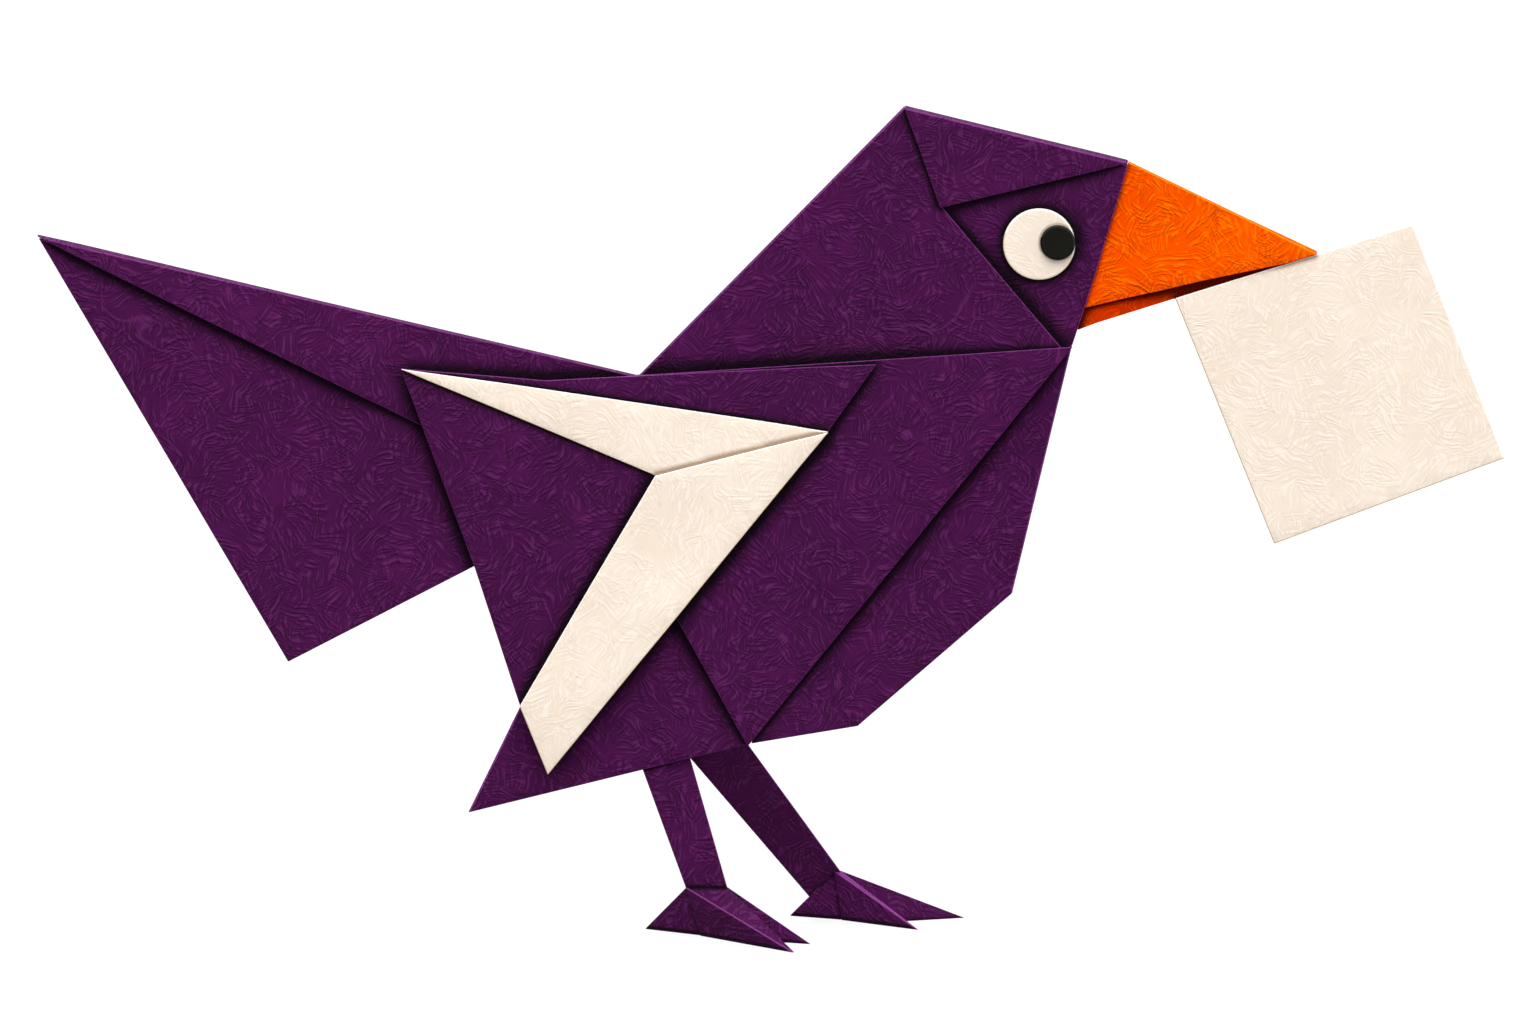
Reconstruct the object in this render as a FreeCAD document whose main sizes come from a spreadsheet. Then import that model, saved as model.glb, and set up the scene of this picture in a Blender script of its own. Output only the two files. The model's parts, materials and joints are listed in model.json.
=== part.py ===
"""A bird folded and cut from coloured paper, standing on two paper legs with a card in its beak.

The bird faces +X, stands on the floor at z = 0 and is symmetric about y = 0, apart from its stance
and its card. Its near side looks towards -Y. Lengths are in millimetres.

A folded sheet is a long narrow tent: a fold line in the middle plane, and two panels that open
evenly on both sides of it until their furthest corner meets the sheet that covers them. A flat
sheet lies parallel to the middle plane at its own depth, one sheet on the next.
"""

import FreeCAD, Part
import os
import Sketcher

# Thicknesses, gaps and other single sizes: name, value, what it is
SINGLE_SIZES = [
    ("paper", 0.4, "thickness of the purple and orange paper"),
    ("band_paper", 0.6, "thickness of the cream bands"),
    ("leg_paper", 0.5, "thickness of the leg strips"),
    ("card_board", 0.8, "thickness of the card"),
    ("eye_board", 1.0, "thickness of an eye disc"),
    ("pupil_board", 1.2, "thickness of a pupil disc"),
    ("fit", 0.1, "glue line between two sheets that lie on each other"),
    ("edge_gap", 0.5, "gap between two sheets that end side by side"),
    ("stock", 260, "side of the uncut sheets"),
    ("fold_round", 0.3, "outer rounding of a fold"),
    ("flank_gap", 4.0, "from the middle plane to the inside of a flank"),
    ("neck_gap", 0.5, "half the inner width of the neck's fold"),
    ("face_gap", 0.9, "half the inner width of the face's fold"),
    ("tail_gap", 0.3, "half the inner width of the tail's fold"),
    ("rump_gap", 0.3, "half the inner width of the rump's fold"),
    ("breast_gap", 0.3, "half the inner width of the breast's fold"),
    ("beak_gap", 0.3, "half the inner width of the upper beak's fold"),
    ("face_start", 7.0, "from the crown to the start of the face, along the head"),
    ("eye_width", 14.4, "diameter of an eye disc"),
    ("pupil_width", 7.0, "diameter of a pupil disc"),
    ("leg_tab", 5.0, "height of a leg's tab inside the rump"),
    ("far_leg_drop", 5.5, "how far the far leg's rear corner comes down its heel"),
    ("foot_hollow", 0.86, "size of the hollow under a toe or heel, as a share of it"),
    ("foot_top", 10.0, "height of the feet"),
    ("near_ankle_y", -2.0, "middle of the near foot's top, across"),
    ("far_ankle_y", 16.0, "middle of the far foot's top, across"),
]

# Corners of the outlines, seen from the near side: name, x, z, what it is
CORNERS = [
    ("tail_tip", -146.6, 142.0, "point of the tail, at its top edge"),
    ("tail_low", -96.6, 56.5, "lowest corner of the tail"),
    ("tail_wing", -59.3, 75.6, "where the tail's lower edge goes under the wing"),
    ("tail_end", -34.2, 88.1, "hidden lower end of the tail"),
    ("flap_tab", -48.2, 93.2, "hidden lower end of the tail flap"),
    ("flap_end", -42.2, 98.0, "hidden corner of the tail flap"),
    ("crown", 26.6, 168.1, "back corner of the head, where the neck starts"),
    ("neck_root", -26.5, 113.6, "where the neck's fold meets the tail"),
    ("neck_foot", -29.0, 110.9, "hidden lower end of the neck's fold"),
    ("neck_notch", 34.0, 148.2, "corner in the neck's front edge, under the crest"),
    ("crest_low", 33.7, 148.1, "lower corner of the crest, just over the neck's edge"),
    ("neck_low", 58.0, 119.8, "front lower corner of the neck"),
    ("neck_tab", 42.8, 113.0, "hidden lower corner of the neck, in front"),
    ("neck_heel", -2.2, 104.2, "hidden lower corner of the neck, behind"),
    ("brow", 71.3, 157.0, "front corner of the head, where the beak starts"),
    ("face_upper", 69.5, 150.5, "upper corner of the face's front edge"),
    ("face_middle", 65.2, 135.9, "middle corner of the face's front edge"),
    ("face_lower", 62.6, 127.5, "lower corner of the face's front edge"),
    ("face_tab", 57.5, 118.2, "hidden lower corner of the face, in front"),
    ("face_heel", 34.0, 114.0, "hidden lower corner of the face, behind"),
    ("face_back", 30.8, 138.0, "hidden corner of the face, inside the neck"),
    ("shoulder", 60.2, 120.1, "front corner of the flank, at the top of the breast"),
    ("breast_low", 48.2, 69.5, "lower end of the breast's fold"),
    ("belly_low", 17.3, 42.8, "front corner of the belly's lower edge"),
    ("belly_left", -3.9, 39.5, "rear corner of the belly's lower edge"),
    ("belly_tab", -3.8, 52.0, "hidden rear corner of the breast"),
    ("belly_back", 15.8, 76.5, "hidden middle corner of the breast"),
    ("belly_top", 38.0, 103.0, "hidden upper corner of the breast"),
    ("belly_neck", 53.4, 114.0, "hidden corner of the breast, by the shoulder"),
    ("rump_low", -60.6, 24.9, "lower end of the rump's fold"),
    ("rump_up", -50.4, 46.0, "upper end of the rump's fold"),
    ("rump_top", -32.2, 83.0, "hidden upper corner of the rump"),
    ("rump_back", -14.2, 92.0, "hidden front corner of the rump"),
    ("flank_left", -45.2, 113.1, "rear corner of the flank"),
    ("flank_tip", -4.7, 39.1, "lower point of the flank"),
    ("wing_rear", -74.0, 116.0, "rear upper corner of the wing"),
    ("wing_crease", -45.2, 113.4, "where the wing's top edge turns"),
    ("wing_front", 21.0, 116.8, "front upper corner of the wing"),
    ("wing_bend", 11.4, 103.3, "front point of the wing's chevron"),
    ("wing_low", -44.7, 33.7, "lower point of the wing"),
    ("wing_end", -50.3, 47.7, "rear lower corner of the wing"),
    ("wing_side", -59.3, 75.7, "corner in the wing's rear edge"),
    ("band_elbow", -23.2, 94.3, "inner corner of the chevron"),
    ("eye", 53.5, 140.6, "centre of the eye"),
    ("pupil", 57.2, 141.1, "centre of the pupil"),
    ("beak_tip", 109.1, 138.52, "point of the upper beak"),
    ("beak_card", 103.0, 136.65, "where the upper beak comes down to the card"),
    ("beak_edge", 85.8, 133.05, "corner in the upper beak's lower edge"),
    ("beak_low", 62.8, 127.5, "lower corner of the upper beak"),
    ("beak_tab_low", 60.0, 131.0, "hidden lower corner of the upper beak"),
    ("beak_tab_top", 64.5, 146.0, "hidden rear corner of the upper beak"),
    ("beak_tab_brow", 67.0, 153.0, "hidden upper corner of the upper beak"),
    ("beak_start", 71.0, 155.75, "where the upper beak leaves the face"),
    ("jaw_tab", 57.8, 125.3, "hidden lower corner of the lower beak"),
    ("jaw_start", 61.4, 122.9, "where the lower beak leaves the face"),
    ("jaw_chin", 64.7, 124.2, "lower corner of the lower beak"),
    ("jaw_card", 80.5, 129.2, "where the lower beak goes behind the card"),
    ("jaw_low", 84.5, 127.5, "hidden corner of the lower beak behind the card"),
    ("jaw_end", 108.3, 137.2, "hidden front corner of the lower beak"),
    ("jaw_point", 108.0, 138.35, "point of the lower beak"),
    ("jaw_back", 87.9, 135.5, "corner of the lower beak between the beak's sides"),
    ("jaw_top", 58.2, 128.5, "hidden upper corner of the lower beak"),
    ("card_upper", 80.7, 129.4, "rear upper corner of the card"),
    ("card_front", 128.1, 144.4, "front upper corner of the card"),
    ("card_right", 146.6, 97.0, "front lower corner of the card"),
    ("card_lower", 100.6, 79.6, "rear lower corner of the card"),
    ("near_leg_rear", -25.9, 34.4, "rear edge of the near leg, at the rump"),
    ("near_leg_front", -16.2, 36.6, "front edge of the near leg, at the rump"),
    ("far_leg_rear", -16.0, 36.2, "rear edge of the far leg, at the rump"),
    ("far_leg_front", -4.4, 38.5, "front edge of the far leg, at the rump"),
]

# Points of the feet on the floor, seen from above: name, x, y, what it is
FLOOR_POINTS = [
    ("near_heel", -25.4, 5.6, "heel of the near foot"),
    ("near_side", -13.9, -1.6, "near side of the foot"),
    ("near_toe", 4.7, -19.9, "tip of the front toe"),
    ("near_fork", -4.0, -7.0, "between the toes"),
    ("near_back_toe", 8.1, -11.1, "tip of the rear toe"),
    ("near_back", -9.5, 4.0, "far side of the foot"),
    ("far_heel", 3.6, 19.9, "heel of the far foot"),
    ("far_side", 14.4, 15.5, "near side of the foot"),
    ("far_toe", 29.6, 4.8, "tip of the front toe"),
    ("far_fork", 24.0, 13.0, "between the toes"),
    ("far_back_toe", 39.1, 17.7, "tip of the rear toe"),
    ("far_back", 18.5, 19.6, "far side of the foot"),
]

# Ends of the feet's top edges along X: name, value, what it is
ANKLES = [
    ("near_ankle_rear", -17.0, "rear end of the near foot's top edge"),
    ("near_ankle_front", -8.7, "front end of the near foot's top edge"),
    ("far_ankle_rear", 12.8, "rear end of the far foot's top edge"),
    ("far_ankle_front", 14.0, "front end of the far foot's top edge"),
]

doc = FreeCAD.newDocument("PaperBird")
sizes = doc.addObject("Spreadsheet::Sheet", "Sizes")
derived = doc.addObject("App::VarSet", "Derived")
sub_parts = []


def write_size(row, alias, value, note):
    """Write one driving size on a row of the spreadsheet."""
    sizes.set(f"A{row}", note)
    sizes.set(f"B{row}", str(value))
    sizes.setAlias(f"B{row}", alias)


def fill_spreadsheet():
    """Write every driving size, two cells for each corner."""
    entries = list(SINGLE_SIZES) + list(ANKLES)
    for name, x, z, note in CORNERS:
        entries.append((f"{name}_x", x, note + ", along"))
        entries.append((f"{name}_z", z, note + ", height"))
    for name, x, y, note in FLOOR_POINTS:
        entries.append((f"{name}_x", x, note + ", along"))
        entries.append((f"{name}_y", y, note + ", across"))
    for row, (alias, value, note) in enumerate(entries, start=1):
        write_size(row, alias, value, note)
    doc.recompute()


def cell(alias):
    """The expression that reads one size."""
    return f"Sizes.{alias}"


def derive(name, expression):
    """Work out a size from the others and return the expression that reads it."""
    derived.addProperty("App::PropertyFloat", name)
    derived.setExpression(name, expression)
    derived.recompute()
    return f"Derived.{name}"


def corner(name):
    """A named corner, as a pair of expressions."""
    return cell(f"{name}_x"), cell(f"{name}_z")


def moved(point, dx="0", dz="0"):
    """A corner moved by two sizes."""
    return f"({point[0]} + {dx})", f"({point[1]} + {dz})"


def value(expression):
    """The number that an expression gives now."""
    return float(sizes.evalExpression(expression))


class Fold:
    """A fold line between two corners, with the sheet on its right-hand side."""

    def __init__(self, name, start, end):
        self.start = start
        run = f"{end[0]} - {start[0]}"
        rise = f"{end[1]} - {start[1]}"
        length = derive(f"{name}_fold", f"sqrt(({run}) ^ 2 + ({rise}) ^ 2)")
        self.cosine = derive(f"{name}_cosine", f"({run}) / {length}")
        self.sine = derive(f"{name}_sine", f"({rise}) / {length}")

    def along(self, point):
        """How far along the fold a corner lies."""
        x, z = self.start
        return f"(({point[0]} - {x}) * {self.cosine} + ({point[1]} - {z}) * {self.sine})"

    def across(self, point):
        """How far from the fold a corner lies, on the sheet's side."""
        x, z = self.start
        return f"(({point[0]} - {x}) * {self.sine} - ({point[1]} - {z}) * {self.cosine})"

    def placement(self):
        """The frame that lies along the fold, with the sheet below it."""
        x, z = self.start
        turn = f"rotation(vector(0; -1; 0); atan2({self.sine}; {self.cosine}))"
        return f"placement(vector({x}; 0; {z}); {turn})"


class FoldedSheet:
    """A sheet folded on a line, its two panels opening evenly until they reach their seat."""

    def __init__(self, name, fold, gap, seats, seat_depth, inset="0"):
        self.name = name
        self.fold = fold
        self.gap = gap
        self.inset = inset
        furthest = "; ".join(fold.across(seat) for seat in seats)
        reach = derive(f"{name}_reach", f"max({furthest}) - {inset}")
        self.slope = derive(f"{name}_slope", f"({seat_depth} - {cell('paper')} - {gap}) / {reach}")

    def inner(self, point):
        """Depth of a panel's inner side at a corner."""
        return f"({self.gap} + {self.slope} * ({self.fold.across(point)} - {self.inset}))"

    def outer(self, point):
        """Depth of a panel's outer side at a corner."""
        return f"({self.inner(point)} + {cell('paper')})"

    def section(self):
        """The folded section, as points across and up from the fold line."""
        paper = cell("paper")
        stock = cell("stock")
        top = f"-{self.inset}"
        under = f"(-{self.inset} - {paper})"
        end = f"(-{self.inset} - {stock})"
        inner_top = f"({self.gap} + {self.slope} * {paper})"
        inner_end = f"({self.gap} + {self.slope} * {stock})"
        outer_top = f"({self.gap} + {paper})"
        outer_end = f"({inner_end} + {paper})"
        right = [(outer_top, top), (outer_end, end), (inner_end, end), (inner_top, under)]
        left = [(f"-{across}", up) for across, up in reversed(right)]
        return right + left

    def build(self, outline):
        """Fold a sheet of stock and cut it to its outline, given in the fold's own frame."""
        body = new_body(self.name)
        body.setExpression("Placement", self.fold.placement())
        profile = new_sketch(body, "Section", "YZ_Plane")
        draw_polygon(profile, self.section())
        sheet = new_feature(body, "PartDesign::Pad", "Sheet", profile)
        sheet.SideType = "Symmetric"
        sheet.setExpression("Length", f"2 * {cell('stock')}")
        doc.recompute()
        rounding = body.newObject("PartDesign::Fillet", "FoldRounding")
        rounding.Base = (sheet, fold_edges(sheet.Shape, -value(self.inset)))
        rounding.setExpression("Radius", cell("fold_round"))
        waste = new_sketch(body, "Waste", "XZ_Plane")
        draw_polygon(waste, square_of(cell("stock")))
        draw_polygon(waste, outline)
        cut = new_feature(body, "PartDesign::Pocket", "Outline", waste)
        cut.Type = "ThroughAll"
        cut.SideType = "Symmetric"
        doc.recompute()
        if cut.Shape.Volume > 0.5 * sheet.Shape.Volume:
            raise RuntimeError(f"{self.name}: the outline was not cut")
        return body

    def local(self, point):
        """A corner in the fold's own frame."""
        return self.fold.along(point), f"-{self.fold.across(point)}"


def new_body(name):
    """Start a sub-part."""
    body = doc.addObject("PartDesign::Body", name)
    body.Label = name
    sub_parts.append(body)
    return body


def new_sketch(body, name, role, offset=None):
    """A sketch on one of the body's origin planes, moved along its normal by an expression."""
    sketch = body.newObject("Sketcher::SketchObject", name)
    plane = next(item for item in body.Origin.OriginFeatures if item.Role == role)
    sketch.AttachmentSupport = [(plane, "")]
    sketch.MapMode = "FlatFace"
    if offset is not None:
        sketch.setExpression("AttachmentOffset.Base.z", offset)
    return sketch


def new_feature(body, kind, name, sketch):
    """A feature of the body made from a sketch."""
    feature = body.newObject(kind, name)
    feature.Profile = sketch
    return feature


def bind(sketch, places):
    """Bind coordinates of the sketch's points to expressions, given as kind, point, expression."""
    constraints = []
    for kind, (entity, position), expression in places:
        constraints.append(Sketcher.Constraint(kind, -1, 1, entity, position, value(expression)))
    indexes = sketch.addConstraint(constraints)
    for index, (kind, point, expression) in zip(indexes, places):
        sketch.setExpression(f"Constraints[{index}]", expression)


def draw_polygon(sketch, points):
    """A closed outline with each corner bound to its two expressions."""
    first = sketch.GeometryCount
    corners = [FreeCAD.Vector(value(x), value(y), 0) for x, y in points]
    ends = corners[1:] + corners[:1]
    sketch.addGeometry([Part.LineSegment(a, b) for a, b in zip(corners, ends)], False)
    count = len(points)
    joins = []
    for index in range(count):
        following = first + (index + 1) % count
        joins.append(Sketcher.Constraint("Coincident", first + index, 2, following, 1))
    sketch.addConstraint(joins)
    places = []
    for index, (x, y) in enumerate(points, start=first):
        places += [("DistanceX", (index, 1), x), ("DistanceY", (index, 1), y)]
    bind(sketch, places)


def draw_circle(sketch, centre, diameter):
    """A circle with its centre and diameter bound to expressions."""
    middle = FreeCAD.Vector(value(centre[0]), value(centre[1]), 0)
    circle = Part.Circle(middle, FreeCAD.Vector(0, 0, 1), value(diameter) / 2)
    index = sketch.addGeometry(circle)
    bind(sketch, [("DistanceX", (index, 3), centre[0]), ("DistanceY", (index, 3), centre[1])])
    size = sketch.addConstraint(Sketcher.Constraint("Diameter", index, value(diameter)))
    sketch.setExpression(f"Constraints[{size}]", diameter)


def square_of(half):
    """A square about the origin, larger than the uncut sheet."""
    side = f"1.2 * {half}"
    return [(f"-{side}", f"-{side}"), (side, f"-{side}"), (side, side), (f"-{side}", side)]


def fold_edges(shape, height):
    """Names of the two outer edges of a fold, which run along X at its top."""
    names = []
    for index, edge in enumerate(shape.Edges, start=1):
        heights = [vertex.Z for vertex in edge.Vertexes]
        along = abs(edge.Vertexes[0].X - edge.Vertexes[-1].X) > 1
        if along and all(abs(z - height) < 1e-6 for z in heights):
            names.append(f"Edge{index}")
    return names


def side_offset(side, depth, thickness):
    """Where a flat sheet's sketch lies, for a sheet whose inner side is at a depth."""
    return depth if side == "near" else f"-({depth} + {thickness})"


def flat_sheet(name, outline, offset, thickness):
    """A flat sheet parallel to the middle plane, starting at an offset towards the near side."""
    body = new_body(name)
    sketch = new_sketch(body, "Outline", "XZ_Plane", offset)
    draw_polygon(sketch, outline)
    pad = new_feature(body, "PartDesign::Pad", "Sheet", sketch)
    pad.setExpression("Length", thickness)
    return body


def disc(name, centre, diameter, offset, thickness):
    """A punched disc parallel to the middle plane."""
    body = new_body(name)
    sketch = new_sketch(body, "Outline", "XZ_Plane", offset)
    draw_circle(sketch, centre, diameter)
    pad = new_feature(body, "PartDesign::Pad", "Disc", sketch)
    pad.setExpression("Length", thickness)
    return body


def build_body_sheets():
    """The folded sheets of the body, neck and tail, which end under the flanks."""
    paper = cell("paper")
    fit = cell("fit")
    seat = f"({cell('flank_gap')} - {fit})"
    neck_fold = Fold("neck", corner("neck_root"), corner("crown"))
    neck_corners = ["neck_foot", "crown", "neck_notch", "neck_low", "neck_tab", "neck_heel"]
    neck_points = [corner(name) for name in neck_corners]
    neck = FoldedSheet("neck", neck_fold, cell("neck_gap"), neck_points[2:], seat)
    neck.build([neck.local(point) for point in neck_points])

    tail_fold = Fold("tail", corner("tail_tip"), corner("neck_root"))
    gap = cell("edge_gap")
    root = moved(corner("neck_root"), f"-{gap}")
    foot = moved(corner("neck_foot"), f"-{gap}")
    inset = f"({paper} + {fit})"
    tail = FoldedSheet("tail", tail_fold, cell("tail_gap"), [corner("tail_wing")], seat, inset)
    tail_points = [corner("tail_tip"), root, foot]
    tail_points += [corner(name) for name in ("tail_end", "tail_wing", "tail_low")]
    tail.build([tail.local(point) for point in tail_points])

    flap_gap = derive("flap_gap", f"{cell('tail_gap')} + {paper} + {fit}")
    flap_ends = [corner("flap_end"), corner("flap_tab")]
    flap = FoldedSheet("tail_flap", tail_fold, flap_gap, flap_ends, seat)
    flap.build([flap.local(point) for point in [corner("tail_tip"), root, foot] + flap_ends])

    breast_fold = Fold("breast", corner("shoulder"), corner("breast_low"))
    breast_names = ["shoulder", "breast_low", "belly_low", "belly_left", "belly_tab", "belly_back"]
    breast_names += ["belly_top", "belly_neck"]
    breast_points = [corner(name) for name in breast_names]
    breast = FoldedSheet("breast", breast_fold, cell("breast_gap"), breast_points[2:], seat)
    breast.build([breast.local(point) for point in breast_points])

    rump_fold = Fold("rump", corner("rump_low"), corner("rump_up"))
    rump_right = moved(corner("belly_left"), f"-{gap}")
    rump_inner = moved(corner("belly_tab"), f"-{gap}")
    rump_points = [corner("rump_low"), corner("rump_up"), corner("rump_top"), corner("rump_back")]
    rump_points += [rump_inner, rump_right]
    rump = FoldedSheet("rump", rump_fold, cell("rump_gap"), rump_points[2:], seat)
    rump.build([rump.local(point) for point in rump_points])
    return neck, rump


def build_head(neck):
    """The face inside the neck, the crest over it, the beak, and the card that it holds."""
    paper = cell("paper")
    fit = cell("fit")
    head_fold = Fold("head", corner("crown"), corner("brow"))
    notch = corner("neck_notch")
    inset = f"({paper} + {fit})"
    face_seat = derive("face_seat", f"{neck.inner(notch)} - {fit}")
    face = FoldedSheet("face", head_fold, cell("face_gap"), [notch], face_seat, inset)
    start = (cell("face_start"), "0")
    names = ["brow", "face_upper", "face_middle", "face_lower", "shoulder", "face_tab", "face_heel"]
    names += ["face_back", "neck_notch"]
    face.build([start] + [face.local(corner(name)) for name in names])

    crest_gap = derive("crest_gap", f"{cell('face_gap')} + {paper} + {fit}")
    crest_seat = derive("crest_seat", f"{neck.outer(notch)} + {fit} + {paper}")
    crest = FoldedSheet("crest", head_fold, crest_gap, [notch], crest_seat)
    crest_points = [crest.local(corner(name)) for name in ("brow", "crest_low")]
    crest.build([(fit, "0")] + crest_points)

    beak_fold = Fold("beak", corner("brow"), corner("beak_tip"))
    tab = corner("beak_tab_low")
    beak_seat = derive("beak_seat", f"{face.inner(tab)} - {fit}")
    beak = FoldedSheet("upper_beak", beak_fold, cell("beak_gap"), [tab], beak_seat)
    names = ["beak_tip", "beak_card", "beak_edge", "beak_low", "beak_tab_low", "beak_tab_top"]
    names += ["beak_tab_brow", "beak_start"]
    beak.build([(fit, "0")] + [beak.local(corner(name)) for name in names])

    jaw_names = ["jaw_tab", "jaw_start", "jaw_chin", "jaw_card", "jaw_low", "jaw_end", "jaw_point"]
    jaw_names += ["jaw_back", "jaw_top"]
    flat_sheet("lower_beak", [corner(name) for name in jaw_names], f"-{paper} / 2", paper)
    card_names = ["card_upper", "card_front", "card_right", "card_lower"]
    card_offset = f"{paper} / 2 + {fit}"
    flat_sheet("card", [corner(name) for name in card_names], card_offset, cell("card_board"))
    build_eyes(face)


def build_eyes(face):
    """An eye disc and a pupil disc on each side of the face."""
    fit = cell("fit")
    centre = corner("eye")
    lowest = moved(centre, "0", f"-{cell('eye_width')} / 2")
    eye_depth = derive("eye_depth", f"{face.outer(lowest)} + {fit}")
    pupil_depth = derive("pupil_depth", f"{eye_depth} + {cell('eye_board')} + {fit}")
    for side in ("near", "far"):
        offset = side_offset(side, eye_depth, cell("eye_board"))
        disc(f"eye_{side}", centre, cell("eye_width"), offset, cell("eye_board"))
        offset = side_offset(side, pupil_depth, cell("pupil_board"))
        disc(f"pupil_{side}", corner("pupil"), cell("pupil_width"), offset, cell("pupil_board"))


def build_wings():
    """The flank, the wing and the two cream bands on each side, one on the next."""
    paper = cell("paper")
    band = cell("band_paper")
    fit = cell("fit")
    wing_names = ["wing_rear", "wing_crease", "wing_front", "wing_bend", "wing_low", "wing_end"]
    stack = [
        ("flank", ["flank_left", "shoulder", "flank_tip"], paper),
        ("wing", wing_names + ["wing_side"], paper),
        ("upper_band", ["wing_rear", "wing_bend", "band_elbow"], band),
        ("lower_band", ["wing_bend", "wing_low", "wing_end", "band_elbow"], band),
    ]
    depth = cell("flank_gap")
    for name, corners, thickness in stack:
        for side in ("near", "far"):
            outline = [corner(item) for item in corners]
            flat_sheet(f"{name}_{side}", outline, side_offset(side, depth, thickness), thickness)
        depth = derive(f"{name}_top", f"{depth} + {thickness} + {fit}")


def build_leg(side, rump):
    """A flat strip from inside the rump to the top of its foot, leaning to where the foot stands."""
    fit = cell("fit")
    tab = cell("leg_tab")
    foot_top = cell("foot_top")
    ankle_y = cell(f"{side}_ankle_y")
    ankle_rear = cell(f"{side}_ankle_rear")
    ankle_front = cell(f"{side}_ankle_front")
    rear_x, rear_z = corner(f"{side}_leg_rear")
    front_x, front_z = corner(f"{side}_leg_front")
    foot_x = ankle_rear
    if side == "far":
        drop = cell("far_leg_drop")
        heel_run = f"({cell('far_heel_x')} - {ankle_rear})"
        foot_x = derive("far_leg_foot", f"{ankle_rear} + {heel_run} * {drop} / {foot_top}")

    rise = derive(f"{side}_rise", f"{rear_z} - {foot_top}")
    share = derive(f"{side}_tab_share", f"{tab} / {rise}")
    rear_top = derive(f"{side}_tab_rear", f"{rear_x} + ({rear_x} - {foot_x}) * {share}")
    front_top = derive(f"{side}_tab_front", f"{front_x} + ({front_x} - {ankle_front}) * {share}")
    narrowest = rump.inner((rear_top, f"({rear_z} + {tab})"))
    sign = "-1" if side == "near" else "1"
    exit_y = derive(f"{side}_exit_y", f"{sign} * ({narrowest} - {fit} - {cell('leg_paper')} / 2)")
    stretch = derive(f"{side}_stretch", f"sqrt({rise} ^ 2 + ({exit_y} - {ankle_y}) ^ 2) / {rise}")

    body = new_body(f"leg_{side}")
    turn = f"rotation(vector(1; 0; 0); atan2({ankle_y} - {exit_y}; {rise}))"
    body.setExpression("Placement", f"placement(vector(0; {ankle_y}; {foot_top}); {turn})")
    outline = [
        (ankle_rear, fit),
        (ankle_front, fit),
        (front_top, f"({front_z} - {foot_top} + {tab}) * {stretch}"),
        (rear_top, f"({rise} + {tab}) * {stretch}"),
    ]
    if side == "far":
        outline.append((foot_x, f"{fit} - {drop} * {stretch}"))
    sketch = new_sketch(body, "Outline", "XZ_Plane")
    draw_polygon(sketch, outline)
    strip = new_feature(body, "PartDesign::Pad", "Strip", sketch)
    strip.SideType = "Symmetric"
    strip.setExpression("Length", cell("leg_paper"))


def closed_solid(faces):
    """A closed solid with flat faces, each given by its corners."""
    sides = [Part.Face(Part.makePolygon(list(points) + [points[0]])) for points in faces]
    shell = Part.makeShell(sides)
    shell.sewShape()
    solid = Part.makeSolid(shell)
    if solid.Volume < 0:
        solid.reverse()
    return solid


def build_foot(side):
    """A foot folded from one sheet: a heel and two toes that fall from a short top edge.

    It is open underneath. The hollow is the same form at a share of its size, about the middle of
    the foot's floor. The long panel of the front toe is folded over the heel, so it lies double.
    """
    spots = {}
    for name in ("heel", "side", "toe", "fork", "back_toe", "back"):
        x = value(cell(f"{side}_{name}_x"))
        y = value(cell(f"{side}_{name}_y"))
        spots[name] = FreeCAD.Vector(x, y, 0)
    height = value(cell("foot_top"))
    across = value(cell(f"{side}_ankle_y"))
    rear = FreeCAD.Vector(value(cell(f"{side}_ankle_rear")), across, height)
    front = FreeCAD.Vector(value(cell(f"{side}_ankle_front")), across, height)
    heel, near, toe, fork, back_toe, back = spots.values()
    folds = [(rear, heel, near), (rear, near, toe), (rear, toe, front), (front, toe, fork)]
    folds += [(front, fork, back_toe), (front, back_toe, back), (rear, front, back)]
    folds.append((rear, back, heel))
    outside = closed_solid([tuple(spots.values())] + folds)
    room = outside.copy()
    room.scale(value(cell("foot_hollow")), (near + fork + back) * (1 / 3))
    panel = Part.Face(Part.makePolygon([rear, near, toe, rear]))
    outwards = (toe - rear).cross(near - rear).normalize()
    if outwards.y > 0:
        outwards = outwards * -1
    stock = value(cell("stock"))
    under_leg = Part.makeBox(stock, stock, height, FreeCAD.Vector(-stock / 2, -stock / 2, 0))
    layer = panel.extrude(outwards * value(cell("paper"))).common(under_leg)
    foot = doc.addObject("Part::Feature", f"foot_{side}")
    foot.Label = f"foot_{side}"
    foot.Shape = outside.cut(room).fuse(layer).removeSplitter().Solids[0]
    foot.Placement = FreeCAD.Placement()
    sub_parts.append(foot)


def check_and_write():
    """Check that everything is sound, then write one file for each sub-part."""
    doc.recompute()
    for item in doc.Objects:
        if "Invalid" in item.State or "Error" in item.State:
            raise RuntimeError(f"{item.Label} did not build")
    for part in sub_parts:
        if part.Shape.isNull() or not part.Shape.isValid():
            raise RuntimeError(f"{part.Label} has no sound shape")
        if len(part.Shape.Solids) != 1:
            raise RuntimeError(f"{part.Label} is {len(part.Shape.Solids)} solids")
    os.makedirs("parts", exist_ok=True)
    for part in sub_parts:
        part.Shape.exportStep(f"parts/{part.Label}.step")


fill_spreadsheet()
neck_sheet, rump_sheet = build_body_sheets()
build_head(neck_sheet)
build_wings()
for leg_side in ("near", "far"):
    build_leg(leg_side, rump_sheet)
    build_foot(leg_side)
check_and_write()
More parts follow.
